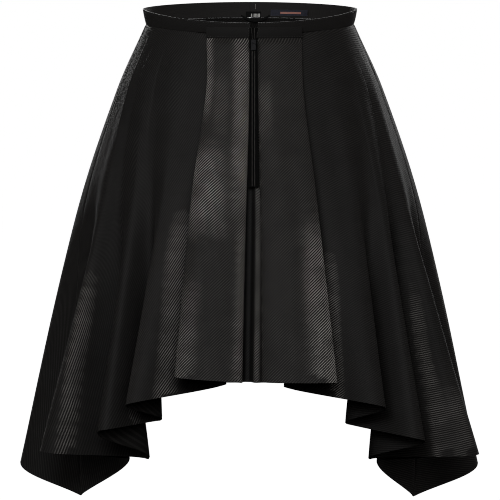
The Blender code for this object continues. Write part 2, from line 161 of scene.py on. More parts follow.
def worsted_twill(name, ridge_painted_highlight, groove, shine, dull, relief_mm):
    """Twill whose ridges shine where pressed, their colour lightened there as a painted highlight
    and darkened below 0 as painted shade, with a real relief everywhere.
    """
    made = bpy.data.materials.new(name)
    made.use_nodes = True
    tree = made.node_tree
    shader = tree.nodes["Principled BSDF"]
    cut = add_node(tree, "ShaderNodeUVMap", uv_map=CUT_MAP)
    turned = add_node(
        tree,
        "ShaderNodeMapping",
        {"Vector": cut.outputs["UV"], "Rotation": (0.0, 0.0, TWILL_ANGLE)},
    )
    ridges = add_node(
        tree,
        "ShaderNodeTexWave",
        {
            "Vector": turned.outputs["Vector"],
            "Scale": WAVE_AT_ONE / (RIDGE_MM * MM),
            "Distortion": 0.6,
            "Detail": 1.0,
            "Detail Scale": 0.6,
        },
        bands_direction="X",
    )
    floats = add_node(
        tree,
        "ShaderNodeTexWave",
        {
            "Vector": turned.outputs["Vector"],
            "Scale": WAVE_AT_ONE / (YARN_MM * MM),
            "Distortion": 1.2,
            "Detail": 1.0,
        },
        bands_direction="DIAGONAL",
    )
    patches = add_node(
        tree, "ShaderNodeTexNoise", {"Vector": cut.outputs["UV"], "Scale": 34.0, "Detail": 5.0}
    )
    pressed_and_painted = add_node(tree, "ShaderNodeAttribute", attribute_name=SHINE_AND_PAINTED_LIGHT)
    yarn = reckon(tree, "MULTIPLY_ADD", floats.outputs["Fac"], YARN_SHARE, -YARN_SHARE / 2)
    height = reckon(tree, "ADD", ridges.outputs["Fac"], yarn, clamp=True)
    uneven = add_node(
        tree,
        "ShaderNodeMapRange",
        {"Value": patches.outputs["Fac"], "From Min": 0.3, "From Max": 0.6, "To Min": 0.5},
    )
    at_least = reckon(tree, "MAXIMUM", pressed_and_painted.outputs["Fac"], FAINT_SHINE)
    gloss_and_painted_glint = reckon(tree, "MULTIPLY", uneven.outputs["Result"], at_least)
    crest = add_node(
        tree,
        "ShaderNodeMapRange",
        {"Value": height, "From Min": CREST_FROM, "From Max": CREST_FULL},
        interpolation_type="SMOOTHSTEP",
    )
    lit = reckon(tree, "MULTIPLY", crest.outputs["Result"], gloss_and_painted_glint, clamp=True)
    # Painted shade: below 0 the groove colour is mixed towards black.
    out_of_painted_shade = add_node(
        tree,
        "ShaderNodeMapRange",
        {"Value": pressed_and_painted.outputs["Fac"], "From Min": -1.0, "From Max": 0.0},
    )
    groove_with_painted_shade = add_node(
        tree,
        "ShaderNodeMix",
        {0: out_of_painted_shade.outputs["Result"], 6: linear(PAINTED_SHADE_BLACK), 7: linear(groove)},
        data_type="RGBA",
    )
    # Painted highlight: where a ridge is lit, its colour goes to the light ridge colour.
    colour = add_node(
        tree, "ShaderNodeMix", {0: lit, 6: groove_with_painted_shade.outputs[2], 7: linear(ridge_painted_highlight)}, data_type="RGBA"
    )
    rough = add_node(
        tree, "ShaderNodeMapRange", {"Value": lit, "To Min": dull, "To Max": shine}
    )
    standing = reckon(tree, "MULTIPLY_ADD", at_least, 1 - LEAST_RELIEF, LEAST_RELIEF)
    raised = reckon(tree, "MULTIPLY", height, standing)
    relief = add_node(
        tree, "ShaderNodeBump", {"Height": raised, "Strength": 1.0, "Distance": relief_mm * MM}
    )
    for socket, source in (
        ("Base Color", colour.outputs[2]),
        ("Roughness", rough.outputs["Result"]),
        ("Normal", relief.outputs["Normal"]),
    ):
        tree.links.new(source, shader.inputs[socket])
    shader.inputs["IOR"].default_value = 1.53
    shader.inputs["Specular IOR Level"].default_value = 0.12
    shader.inputs["Sheen Weight"].default_value = 0.01
    shader.inputs["Sheen Roughness"].default_value = 0.4
    return made


# The light grey ridge colour of the cloth is a painted highlight on black wool; the band's is close
# to its groove.
TWILL = worsted_twill("black worsted cavalry twill", "#d6d1cb", "#282625", 0.22, 0.7, 0.3)
BAND_TWILL = worsted_twill("black twill waistband", "#343231", "#292726", 0.5, 0.75, 0.2)
print("materials:", TWILL.name, "and", BAND_TWILL.name)

# %% [markdown]
# The metal of the zip is brass with a black nickel plate: dark, satin, and worn a little
# brighter where fingers rub it. Its tapes are woven polyester with a fine rib down their
# length. The ribbon of the loop is black satin, and the label is a damask weave, whose fine
# cross threads give it a dull navy face with a band of rust-coloured thread.

# %% Zip, ribbon and label finishes


def plain_finish(
    name, colour, roughness, metallic=0.0, threads_mm=0.0, along="X", second=None, gloss=0.5
):
    """A finish with a fine thread relief along one direction of the piece, or a brushed metal."""
    made = bpy.data.materials.new(name)
    made.use_nodes = True
    tree = made.node_tree
    shader = tree.nodes["Principled BSDF"]
    place = add_node(tree, "ShaderNodeTexCoord")
    cloud = add_node(
        tree,
        "ShaderNodeTexNoise",
        {"Vector": place.outputs["Object"], "Scale": 900.0, "Detail": 3.0},
    )
    blend = add_node(
        tree,
        "ShaderNodeMix",
        {0: cloud.outputs["Fac"], 6: linear(colour), 7: linear(second or colour)},
        data_type="RGBA",
    )
    tree.links.new(blend.outputs[2], shader.inputs["Base Color"])
    height = cloud.outputs["Fac"]
    depth = 0.02
    if threads_mm:
        threads = add_node(
            tree,
            "ShaderNodeTexWave",
            {
                "Vector": place.outputs["Object"],
                "Scale": WAVE_AT_ONE / (threads_mm * MM),
                "Distortion": 0.4,
            },
            bands_direction=along,
        )
        height = threads.outputs["Fac"]
        depth = threads_mm * 0.3
    relief = add_node(
        tree, "ShaderNodeBump", {"Height": height, "Strength": 0.8, "Distance": depth * MM}
    )
    tree.links.new(relief.outputs["Normal"], shader.inputs["Normal"])
    shader.inputs["Roughness"].default_value = roughness
    shader.inputs["Metallic"].default_value = metallic
    shader.inputs["Specular IOR Level"].default_value = gloss
    return made


ZIP_METAL = plain_finish("black nickel plated zinc", "#19191a", 0.45, 1.0, second="#252526")
WORN_METAL = plain_finish("black nickel worn at the edge", "#8c8c8f", 0.4, 1.0, second="#6c6c70")
ZIP_TAPE = plain_finish("woven polyester zip tape", "#080808", 0.9, threads_mm=0.9, gloss=0.1)
ZIP_COIL = plain_finish("black nylon zip coil", "#6e6b68", 0.55, second="#575552", gloss=0.15)
RIBBON = plain_finish("black satin ribbon", "#050505", 0.7, threads_mm=0.5, along="Z", gloss=0.15)
THREAD = plain_finish("black polyester sewing thread", "#3a3836", 0.5, second="#2a2827")
PALE_THREAD = plain_finish("white label thread", "#d8d6d0", 0.6)
RUST_THREAD = plain_finish("rust label thread", "#cf7b4b", 0.6, second="#b06a72")
LABEL = plain_finish("navy damask label", "#10142e", 0.65, threads_mm=0.5, along="Z")
print("finishes of the zip, ribbon, threads and label are mixed")

# %% [markdown]
# A skirt of this kind is a chain of folds. From the middle of the front each half runs out
# along the pleat, back under it, and on through one soft flare after another to the middle of
# the back. A row of these tables follows one fold: where it lies at the waist, at the hip, at
# mid length and at the hem. The solids were made from the same rows, so cloth made from them
# lies exactly on the solids.

# %% Rings and folds
LEVELS = (0.0, 0.15, 0.45, 1.0)
Ring = namedtuple("Ring", "half_width half_front half_back")
WAIST = Ring(124.8, 92.4, 92.4)
HIP = Ring(160.0, 118.0, 120.0)
MID = Ring(209.0, 160.0, 160.0)
Fold = namedtuple(
    "Fold",
    "name waist_deg hip_deg mid_deg waist_out hip_out mid_out hem_x hem_y hem_z turn_top turn_hem",
)

LEFT_FOLDS = (
    Fold("return end", 7.4, 5.8, 6.4, 0.2, 0.2, 0.0, 28, -198, -415, 3, 3),
    Fold("pleat crease", 0.4, 0.3, 0.9, 3.4, 3.6, 3.4, 9, -204, -415, 3.8, 3.8),
    Fold("panel edge", 23.8, 18.4, 18.5, 4.0, 4.6, 9, 89, -200, -408, 3.4, 5),
    Fold("first trough", 17.6, 12.6, 11.5, -0.6, -1.6, -12, 30, -155, -421, 1.2, 6),
    Fold("first flare", 36, 31, 29.5, 0, 0, 4, 146, -184, -442, 40, 13),
    Fold("second trough", 46, 42, 35, 0, 0, -7, 108, -132, -466, 40, 10),
    Fold("second flare", 54, 50, 41.5, 0, 0, 5, 179, -164, -475, 40, 13),
    Fold("third trough", 61, 58, 50, 0, 0, -8, 122, -97, -515, 40, 12),
    Fold("third flare", 68, 66, 57, 0, 0, 6, 250, -100, -505, 40, 16),
    Fold("fourth trough", 75, 74, 68, 0, 0, -8, 146, -48, -519, 40, 14),
    Fold("side point", 84, 84, 80, 0, 0, -2, 204, -16, -566, 40, 40),
    Fold("side flare", 94, 94, 91, 0, 0, 2, 277, 26, -530, 40, 20),
    Fold("back trough a", 104, 104, 104, 0, 0, -8, 190, 70, -507, 40, 18),
    Fold("back flare a", 113, 113, 115, 0, 0, 4, 246, 118, -497, 40, 20),
    Fold("back trough b", 123, 123, 127, 0, 0, -9, 138, 118, -480, 40, 18),
    Fold("back flare b", 134, 134, 137, 0, 0, 4, 186, 178, -466, 40, 20),
    Fold("back trough c", 145, 145, 149, 0, 0, -9, 92, 148, -448, 40, 18),
    Fold("back flare c", 157, 157, 160, 0, 0, 4, 108, 208, -434, 40, 20),
    Fold("back trough d", 169, 169, 171, 0, 0, -7, 38, 168, -424, 40, 16),
    Fold("centre back", 180, 180, 180, 0, 0, 2, 0, 200, -420, 40, 24),
)

RIGHT_FOLDS = (
    Fold("return end", 11.4, 9.2, 9.2, 0.2, 0.2, 0.0, 33, -198, -415, 3, 3),
    Fold("pleat crease", 4.2, 3.4, 3.1, 3.4, 3.6, 3.4, 14, -204, -414, 3.8, 3.8),
    Fold("panel edge", 28.7, 22.7, 21.2, 4.0, 4.6, 9, 103, -200, -415, 3.4, 5),
    Fold("first trough", 21.6, 16.0, 13.5, -0.6, -1.6, -12, 42, -155, -424, 1.2, 6),
    Fold("first flare", 41, 38, 36.5, 0, 0, 4, 160, -184, -445, 40, 13),
    Fold("second trough", 49, 47, 43, 0, 0, -6, 116, -132, -470, 40, 10),
    Fold("second flare", 56, 54, 49, 0, 0, 5, 206, -158, -487, 40, 13),
    Fold("third trough", 62, 60, 55, 0, 0, -8, 143, -97, -515, 40, 12),
    Fold("third flare", 69, 68, 63, 0, 0, 6, 273, -88, -510, 40, 16),
    Fold("fourth trough", 76, 76, 72, 0, 0, -7, 153, -46, -521, 40, 14),
    Fold("side point", 84, 84, 81, 0, 0, -2, 197, -18, -567, 40, 40),
    Fold("side flare", 94, 94, 91, 0, 0, 2, 275, 26, -531, 40, 20),
    Fold("back trough a", 104, 104, 104, 0, 0, -8, 190, 70, -507, 40, 18),
    Fold("back flare a", 113, 113, 115, 0, 0, 4, 248, 116, -499, 40, 20),
    Fold("back trough b", 123, 123, 127, 0, 0, -9, 142, 116, -482, 40, 18),
    Fold("back flare b", 134, 134, 137, 0, 0, 4, 192, 174, -468, 40, 20),
    Fold("back trough c", 145, 145, 149, 0, 0, -9, 96, 146, -450, 40, 18),
    Fold("back flare c", 157, 157, 160, 0, 0, 4, 112, 206, -436, 40, 20),
    Fold("back trough d", 169, 169, 171, 0, 0, -7, 40, 168, -425, 40, 16),
    Fold("centre back", 180, 180, 180, 0, 0, 2, 0, 200, -420, 40, 24),
)
SIDES = (("left", -1, LEFT_FOLDS), ("right", 1, RIGHT_FOLDS))
print("folds in each half:", len(LEFT_FOLDS))

# %% [markdown]
# Three small functions turn the rows into places. The first goes smoothly down the length
# through the four levels. The second finds all the folds' tips at one level. The third runs a
# smooth curve through the tips, as stiff cloth does: it leaves each tip along the fold and turns
# on a radius that is small at a pressed edge and large in a soft flare.

# %% From fold rows to places
SEAM_FRONT, SEAM_SIDE, SEAM_BACK = -8.0, 0.0, 3.0
TOP_FRONT, TOP_SIDE, TOP_BACK = 5.5, 18.0, 21.6
BAND_FLARE = 3.7
PANEL_TOP = -13.5
UNDER_BAND = 3.25
PRESSED_TURN, PRESSED_PULL = 4.5, 1.9
SEAM_GAP = 0.3


def cubic(start, end, start_pull, end_pull, share):
    """A point on the cubic between two ends with the pull of each end given."""
    s2, s3 = share * share, share**3
    return (
        (2 * s3 - 3 * s2 + 1) * start
        + (s3 - 2 * s2 + share) * start_pull
        + (3 * s2 - 2 * s3) * end
        + (s3 - s2) * end_pull
    )


def down_the_length(values, share):
    """Smooth value between those at the waist, hip, mid length and hem."""
    last = len(LEVELS) - 1
    slopes = []
    for i in range(len(LEVELS)):
        before, after = max(i - 1, 0), min(i + 1, last)
        slopes.append((values[after] - values[before]) / (LEVELS[after] - LEVELS[before]))
    i = max(k for k in range(last) if LEVELS[k] <= share)
    span = LEVELS[i + 1] - LEVELS[i]
    part = (share - LEVELS[i]) / span
    return cubic(values[i], values[i + 1], slopes[i] * span, slopes[i + 1] * span, part)


def on_ring(ring, degrees, out):
    """Place on a ring and a distance outside it, for a direction seen from above."""
    angle = math.radians(degrees)
    forward = math.cos(angle)
    depth = ring.half_front if forward > 0 else ring.half_back
    x, y = ring.half_width * math.sin(angle), -depth * forward
    normal = np.array((x / ring.half_width**2, y / depth**2))
    return np.array((x, y)) + out * normal / np.linalg.norm(normal)


def around(front, side, back, degrees):
    """Smooth value round the waist between the front, the sides and the back."""
    forward = math.cos(math.radians(degrees))
    if forward > 0:
        return side + (front - side) * forward**1.5
    return side + (back - side) * (-forward) ** 1.5


def unit(vector):
    return vector / max(np.linalg.norm(vector), 1e-9)


def tips_at(folds, share):
    """The plan places of all the folds' tips at a share of the way down, in mm."""
    tips = []
    for fold in folds:
        levels = (
            on_ring(WAIST, fold.waist_deg, fold.waist_out),
            on_ring(HIP, fold.hip_deg, fold.hip_out),
            on_ring(MID, fold.mid_deg, fold.mid_out),
            np.array((fold.hem_x, fold.hem_y), float),
        )
        tips.append(down_the_length(levels, share))
    return tips


def top_height(folds, along):
    """Height of a panel's top edge: under the centre band, or else at the waist seam."""
    if along <= UNDER_BAND:
        return PANEL_TOP
    k = min(int(along), len(folds) - 2)
    degrees = folds[k].waist_deg + (folds[k + 1].waist_deg - folds[k].waist_deg) * (along - k)
    return around(SEAM_FRONT, SEAM_SIDE, SEAM_BACK, degrees) - SEAM_GAP


def chain_row(folds, share, alongs):
    """Points of the cloth's outer face at one share of the length, in mm, as an array."""
    tips = tips_at(folds, share)
    last = len(folds) - 1
    turns = [f.turn_top + (f.turn_hem - f.turn_top) * share for f in folds]
    heading = [unit(tips[1] - tips[0])]
    for k in range(1, last):
        heading.append(unit(unit(tips[k] - tips[k - 1]) + unit(tips[k + 1] - tips[k])))
    heading.append(np.array((-1.0, 0.0)))
    row = []
    for along in alongs:
        k = min(int(along), last - 1)
        length = np.linalg.norm(tips[k + 1] - tips[k])
        pulls = []
        for end in (k, k + 1):
            most = length * (PRESSED_PULL if turns[end] < PRESSED_TURN else 1.0)
            pulls.append(heading[end] * min(math.sqrt(6 * turns[end] * length), most))
        x, y = cubic(tips[k], tips[k + 1], pulls[0], pulls[1], along - k)
        hem = folds[k].hem_z + (folds[k + 1].hem_z - folds[k].hem_z) * (along - k)
        row.append((x, y, top_height(folds, along) * (1 - share) + hem * share))
    return np.array(row)


print("hem at the first left flare:", chain_row(LEFT_FOLDS, 1.0, [4.0])[0])

# %% [markdown]
# Cloth starts flat. A grid is laid out with one operator, and each of its points is then moved
# to its place in the folds, as when a cut piece is hung. The flat cut itself is kept as a UV
# map, in metres, so the weave stays true to the cloth. Each column of the grid is a thread that
# runs down the panel. Where the hem is longer than the top, neighbouring threads fan out in the
# cut, and that fan is what turns the twill lines from panel to panel. Sewing is laid on the
# cloth as rows of small beads, one for each stitch.

# %% From flat cut to hung cloth
CLOTH_MM = 1.8
ROWS = 96
PLAIN_SHINE = 0.0


def flat_cut(points, start_fan=0.0, shares=1.0):
    """The flat cut of a hung grid, in metres, from its own lengths, and how far it fans out."""
    top = np.linalg.norm(np.diff(points[0], axis=0), axis=1)
    mean = np.linalg.norm(np.diff(points, axis=1), axis=2).mean(axis=0)
    lengths = np.linalg.norm(np.diff(points, axis=0), axis=2).sum(axis=0)
    middle = (lengths[1:] + lengths[:-1]) / 2
    fan = start_fan + np.concatenate(([0.0], np.cumsum(2 * shares * (mean - top) / middle)))
    half_way = (fan[1:] + fan[:-1]) / 2
    across = np.stack((np.cos(half_way), np.sin(half_way)), axis=1) * top[:, None]
    corner = np.concatenate(([[0.0, 0.0]], np.cumsum(across, axis=0)))
    down = np.linalg.norm(np.diff(points, axis=0), axis=2).cumsum(axis=0)
    down = np.concatenate((np.zeros((1, points.shape[1])), down))
    thread = np.stack((np.sin(fan), -np.cos(fan)), axis=1)
    return (corner[None] + down[..., None] * thread[None]) * MM, fan[-1]


def bring_in(name, made, material):
    """A finished mesh as an object in the scene, in its material."""
    mesh = bpy.data.meshes.new(name)
    made.to_mesh(mesh)
    made.free()
    mesh.materials.append(material)
    piece = bpy.data.objects.new(name, mesh)
    bpy.context.scene.collection.objects.link(piece)
    return piece


def lay_cloth(
    name, points, cut, side, material, thick_mm=CLOTH_MM, edge_mm=0.45, pressed_and_painted=None
):
    """A grid of cloth moved to these places in mm, its cut kept as a UV map, with a real wall."""
    rows, columns = points.shape[:2]
    if pressed_and_painted is None:
        pressed_and_painted = np.full((rows, columns), PLAIN_SHINE)
    cloth = bmesh.new()
    bmesh.ops.create_grid(cloth, x_segments=columns - 1, y_segments=rows - 1, size=0.5)
    shine = cloth.verts.layers.float.new(SHINE_AND_PAINTED_LIGHT)
    where = {}
    for vertex in cloth.verts:
        column = round((vertex.co.x + 0.5) * (columns - 1))
        row = round((0.5 - vertex.co.y) * (rows - 1))
        where[vertex] = (row, column)
        x, y, z = points[row, column] * MM
        vertex.co = (side * x, y, z)
        vertex[shine] = pressed_and_painted[row, column]
    cut_map = cloth.loops.layers.uv.new(CUT_MAP)
    for face in cloth.faces:
        face.smooth = True
        for loop in face.loops:
            u, v = cut[where[loop.vert]]
            loop[cut_map].uv = (side * u, v)
    if side < 0:
        bmesh.ops.reverse_faces(cloth, faces=cloth.faces)
    piece = bring_in(name, cloth, material)
    wall = piece.modifiers.new("cloth thickness", "SOLIDIFY")
    wall.thickness = thick_mm * MM
    wall.offset = -1.0
    if edge_mm:
        soft = piece.modifiers.new("soft cut edge", "BEVEL")
        soft.width = edge_mm * MM
        soft.segments = 2
        soft.limit_method = "ANGLE"
        soft.angle_limit = math.radians(55)
        soft.harden_normals = True
    return piece


def declare_cloth(piece, cut, node, held="hung"):
    """Ties a cloth piece to the skirt, its solid and its flat size. A strip counts as straight."""
    diagonal_a = cut[1:, 1:] - cut[:-1, :-1]
    diagonal_b = cut[:-1, 1:] - cut[1:, :-1]
    crossed = diagonal_a[..., 0] * diagonal_b[..., 1] - diagonal_a[..., 1] * diagonal_b[..., 0]
    area = float(abs(crossed).sum() / 2)
    if held == "hung":
        flat = cut.reshape(-1, 2)
        width, length = flat.max(axis=0) - flat.min(axis=0)
    else:
        width = np.linalg.norm(np.diff(cut[-1], axis=0), axis=1).sum()
        length = area / width
    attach(piece, "skirt")
    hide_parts(node)
    print(f"{piece.name}: cut from {width:.3f} x {length:.3f} m, {area:.3f} square metres")


def lay_beads(name, beads, material):
    """Small rounded beads in one piece, each with a middle, a direction and three half sizes."""
    row = bmesh.new()
    for middle, direction, half_sizes in beads:
        turn = Vector(direction).to_track_quat("X", "Z").to_matrix().to_4x4()
        place = Matrix.Translation(Vector(middle) * MM)
        size = Matrix.Diagonal(Vector((*half_sizes, 1.0 / MM)) * MM)
        bmesh.ops.create_icosphere(row, subdivisions=1, radius=1.0, matrix=place @ turn @ size)
    for face in row.faces:
        face.smooth = True
    piece = bring_in(name, row, material)
    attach(piece, "skirt")
    print(f"{name}: {len(beads)} beads")
    return piece


def sew_along(path, pitch_mm=3.0, half_sizes=(1.1, 0.2, 0.2)):
    """Stitches set down at an even pitch along a path of points in mm."""
    path = np.array(path, float)
    run = np.concatenate(([0.0], np.cumsum(np.linalg.norm(np.diff(path, axis=0), axis=1))))
    beads = []
    for at in np.arange(pitch_mm / 2, run[-1], pitch_mm):
        k = min(int(np.searchsorted(run, at)), len(run) - 1)
        part = (at - run[k - 1]) / (run[k] - run[k - 1])
        step = path[k] - path[k - 1]
        beads.append((path[k - 1] + step * part, step, half_sizes))
    return beads


print("rows of threads down each panel:", ROWS)

# %% [markdown]
# Heavy twill isn't smooth between its folds. It keeps soft creases from wearing and hanging,
# longer at the sides, shorter under the waist. Simulated cloth gives many small wrinkles that
# this stiff cloth doesn't have, so the main creases are listed one by one: a soft ridge or trough
# from one place on a panel to another, with its own width and depth. A second table of the same
# strokes says where the ridges are pressed to a shine, with a painted highlight in their colour,
# and, where its amount is below 0, where painted shade darkens the cloth: as the picture shows it
# in front, and in a like, uneven way on the sides that it hides.

# %% Creases listed one by one
Stroke = namedtuple("Stroke", "side from_along from_share to_along to_share wide_mm amount")


def on_side(side, *rows):
    """The rows of a table as strokes on one side of the skirt."""
    return tuple(Stroke(side, *row) for row in rows)


CREASES = on_side(
    "left",
    (1.45, 0.02, 1.42, 0.55, 9, -1.6),
    (1.72, 0.10, 1.70, 0.95, 10, 1.4),
    (1.30, 0.40, 1.34, 1.05, 12, -1.5),
    (3.80, 0.10, 3.90, 0.70, 12, -2.0),
    (4.60, 0.00, 4.50, 0.45, 14, 1.8),
    (6.20, 0.00, 6.30, 0.38, 15, 2.0),
    (7.60, 0.30, 7.50, 1.00, 16, -2.4),
    (7.75, 0.55, 7.80, 1.02, 12, 2.0),
    (8.90, 0.00, 8.70, 0.35, 14, -1.8),
    (12.5, 0.10, 12.6, 0.60, 16, -2.0),
    (15.4, 0.05, 15.3, 0.50, 16, 2.0),
    (17.5, 0.20, 17.4, 0.80, 16, -2.0),
) + on_side(
    "right",
    (1.35, 0.05, 1.40, 0.60, 10, 1.4),
    (1.65, 0.15, 1.60, 0.98, 12, -1.8),
    (1.82, 0.45, 1.85, 1.02, 9, 1.4),
    (3.75, 0.15, 3.85, 0.80, 13, -2.0),
    (4.50, 0.02, 4.40, 0.50, 13, 1.8),
    (6.40, 0.05, 6.45, 0.55, 16, 2.0),
    (7.45, 0.30, 7.55, 1.02, 15, -2.6),
    (7.80, 0.50, 7.75, 1.02, 12, 2.0),
    (9.10, 0.00, 9.00, 0.40, 14, -1.8),
    (13.6, 0.10, 13.5, 0.55, 16, 2.0),
    (15.6, 0.25, 15.5, 0.90, 16, -2.2),
    (17.6, 0.00, 17.5, 0.45, 15, 2.0),
)
# Positive amounts give pressed shine with a painted highlight; negative amounts give painted shade.
SHINE_AND_PAINTED_LIGHT_PLACES = on_side(
    "left",
    (1.22, -0.15, 1.20, 0.58, 12, 0.85),
    (1.92, -0.10, 1.88, 0.25, 7, 0.65),
    (1.62, 0.08, 1.55, 0.30, 9, 0.22),
    (1.75, 0.28, 1.60, 0.60, 24, 0.62),
    (1.12, 0.42, 1.14, 1.15, 9, 0.55),
    (1.85, 0.66, 1.80, 1.20, 15, 0.42),
    (3.62, 0.36, 3.60, 1.20, 18, 0.66),
    (4.02, 0.45, 4.05, 1.20, 18, 0.30),
    (5.40, 0.90, 5.50, 1.10, 14, 0.45),
    (7.82, 0.46, 7.66, 1.20, 14, 0.62),
    (8.00, 0.70, 8.00, 1.15, 5, 0.50),
    (11.3, 0.45, 11.4, 1.10, 22, 0.60),
    (13.1, -0.10, 13.2, 0.50, 20, 0.50),
    (15.2, 0.40, 15.3, 1.10, 22, 0.60),
    (17.4, 0.05, 17.3, 0.80, 18, 0.50),
) + on_side(
    "right",
    (1.20, 0.10, 1.22, 0.30, 9, 0.22),
    (1.90, 0.46, 1.78, 1.20, 20, 0.80),
    (1.02, -0.10, 1.02, 1.10, 3, 0.40),
    (3.58, 0.50, 3.52, 1.15, 12, 0.60),
    (7.02, 0.35, 7.02, 1.25, 14, -0.80),
    (7.56, 0.48, 7.60, 1.20, 12, 0.55),
    (7.78, 0.75, 7.80, 1.20, 18, 0.45),
    (11.2, 0.40, 11.3, 1.10, 22, 0.60),
    (13.3, 0.00, 13.2, 0.60, 20, 0.50),
    (15.1, 0.45, 15.2, 1.10, 22, 0.60),
    (17.3, -0.10, 17.4, 0.70, 18, 0.50),
)
STROKE_SAMPLES = 24
STROKE_REACH = 0.75
STROKE_FADE, STROKE_FOOT = 0.3, 0.1
DRAPE_MM, DRAPE_SPAN_MM, DRAPE_DOWN = 1.1, 70.0, 0.35


def soft_step(value):
    held = np.clip(value, 0.0, 1.0)
    return held * held * (3 - 2 * held)


def face_normals(points):
    """Outward directions of a grid of points, for the right half's way round."""
    across = np.gradient(points, axis=1)
    down = np.gradient(points, axis=0)
    normals = np.cross(down, across)
    return normals / np.maximum(np.linalg.norm(normals, axis=2, keepdims=True), 1e-9)


def stroke_sum(strokes, points, alongs, side_name, folds, sharp=2):
    """The soft strokes of a table added up at each point of a panel."""
    total = np.zeros(points.shape[:2])
    for stroke in strokes:
        middle = (stroke.from_along + stroke.to_along) / 2
        if stroke.side != side_name or not alongs[0] - 1 < middle < alongs[-1] + 1:
            continue
        steps = np.linspace(0.0, 1.0, STROKE_SAMPLES)
        path_alongs = stroke.from_along + (stroke.to_along - stroke.from_along) * steps
        path_shares = np.clip(
            stroke.from_share + (stroke.to_share - stroke.from_share) * steps, 0.0, 1.0
        )
        path = np.array(
            [chain_row(folds, s, [a])[0] for a, s in zip(path_alongs, path_shares)]
        )
        apart = np.linalg.norm(points[:, :, None] - path[None, None], axis=3)
        nearest = apart.argmin(axis=2)
        distance = apart.min(axis=2)
        close = abs(np.array(alongs)[None] - path_alongs[nearest]) < STROKE_REACH
        part = steps[nearest]
        fade = soft_step(part / STROKE_FADE)
        fade *= soft_step((1 - part) / STROKE_FADE + STROKE_FOOT)
        total += stroke.amount * np.exp(-((distance / stroke.wide_mm) ** sharp)) * fade * close
    return total


def drape_shift(points, side):
    """A slow, uneven wave of the cloth, read from its place so that panels agree at a seam."""
    shift = np.zeros(points.shape[:2])
    for row in range(points.shape[0]):
        for column in range(points.shape[1]):
            x, y, z = points[row, column]
            place = Vector((side * x, y, z * DRAPE_DOWN)) / DRAPE_SPAN_MM
            shift[row, column] = DRAPE_MM * noise.noise(place)
    return shift


print("creases:", len(CREASES), "pressed places:", len(SHINE_AND_PAINTED_LIGHT_PLACES))

# %% [markdown]
# Where two panels are sewn, the cloth rolls in to the seam. A few extra threads close to each
# sewn edge let the surface dip there, and pressed folds get more threads than soft flares. Sewn
# edges lap a little, and the panels' tops are tucked up and in behind the band, as a seam
# allowance is. The middles of the front panels bow out most, so their tops are tucked furthest.
# A table gives each flare its share of the fan, because the twill turns more on some of them.

# %% Panels
PANEL_SEAM, SIDE_SEAM = 2.5, 10.0
CENTRE_BACK = float(len(LEFT_FOLDS) - 1)
SEAM_STEPS_MM = (0.5, 1.1, 2.0, 3.4)
SEAM_DIP_MM, SEAM_ROLL_MM = 0.9, 1.3
SEAM_CLEAR, CREASE_START_SHARE = 1.3, 0.08
SEAM_OVERLAP_MM = 0.4
PRESSED_STEPS, SOFT_STEPS = 30, 14
TUCK_SHARES = (0.0016, 0.0032, 0.0055)
TUCK_UP_MM, TUCK_IN_MM = 0.9, 0.8
FACE_TUCK_SHARES = (0.008, 0.011, 0.0145)
FACE_TUCK_UP_MM, FACE_TUCK_OUT_MM, FACE_TUCK_EDGE = 2.5, 3.5, 0.06
# The last field is each panel's painted light level: a little painted highlight on the front,
# painted shade on the sides and back.
Panel = namedtuple("Panel", "name node start end rests_on sewn_start sewn_end plain")
PANELS = (
    Panel("front_cloth", "front_panel", 0.0, PANEL_SEAM, "centre_band", False, False, 0.09),
    Panel("side_front_cloth", "side_front", PANEL_SEAM, SIDE_SEAM, "waistband", False, True, -0.33),
    Panel("back_cloth", "back", SIDE_SEAM, CENTRE_BACK, "waistband", True, True, -0.33),
)


def thread_places(panel, folds):
    """Where the threads of a panel lie along the chain of folds."""
    steps = []
    for k in range(int(panel.start), math.ceil(panel.end)):
        count = PRESSED_STEPS if k < 4 else SOFT_STEPS
        steps += [k + j / count for j in range(count)]
    steps = [a for a in steps if panel.start < a < panel.end] + [panel.start, panel.end]
    for edge, inward, sewn in (
        (panel.start, 1, panel.sewn_start),
        (panel.end, -1, panel.sewn_end),
    ):
        if sewn:
            near = chain_row(folds, 0.6, [edge, edge + inward * 0.1])
            mm_per_along = np.linalg.norm(near[1] - near[0]) / 0.1
            close = SEAM_STEPS_MM[-1] / mm_per_along
            steps = [a for a in steps if a == edge or abs(a - edge) > close * SEAM_CLEAR]
            steps += [edge + inward * mm / mm_per_along for mm in SEAM_STEPS_MM]
    return sorted(steps)


def seam_dip(points, sewn_start, sewn_end):
    """How far the cloth rolls in at its sewn edges, in mm."""
    dip = np.zeros(points.shape[:2])
    for sewn, edge in ((sewn_start, 0), (sewn_end, -1)):
        if sewn:
            distance = np.linalg.norm(points - points[:, edge][:, None], axis=2)
            dip -= SEAM_DIP_MM * np.exp(-((distance / SEAM_ROLL_MM) ** 2))
    return dip


def lap_seams(points, panel):
    """Let each sewn edge reach a little under its neighbour's, so that no light passes."""
    for sewn, edge, next_in in ((panel.sewn_start, 0, 1), (panel.sewn_end, -1, -2)):
        if sewn:
            past = points[:, edge] - points[:, next_in]
            past /= np.linalg.norm(past, axis=1)[:, None]
            points[:, edge] += SEAM_OVERLAP_MM * past


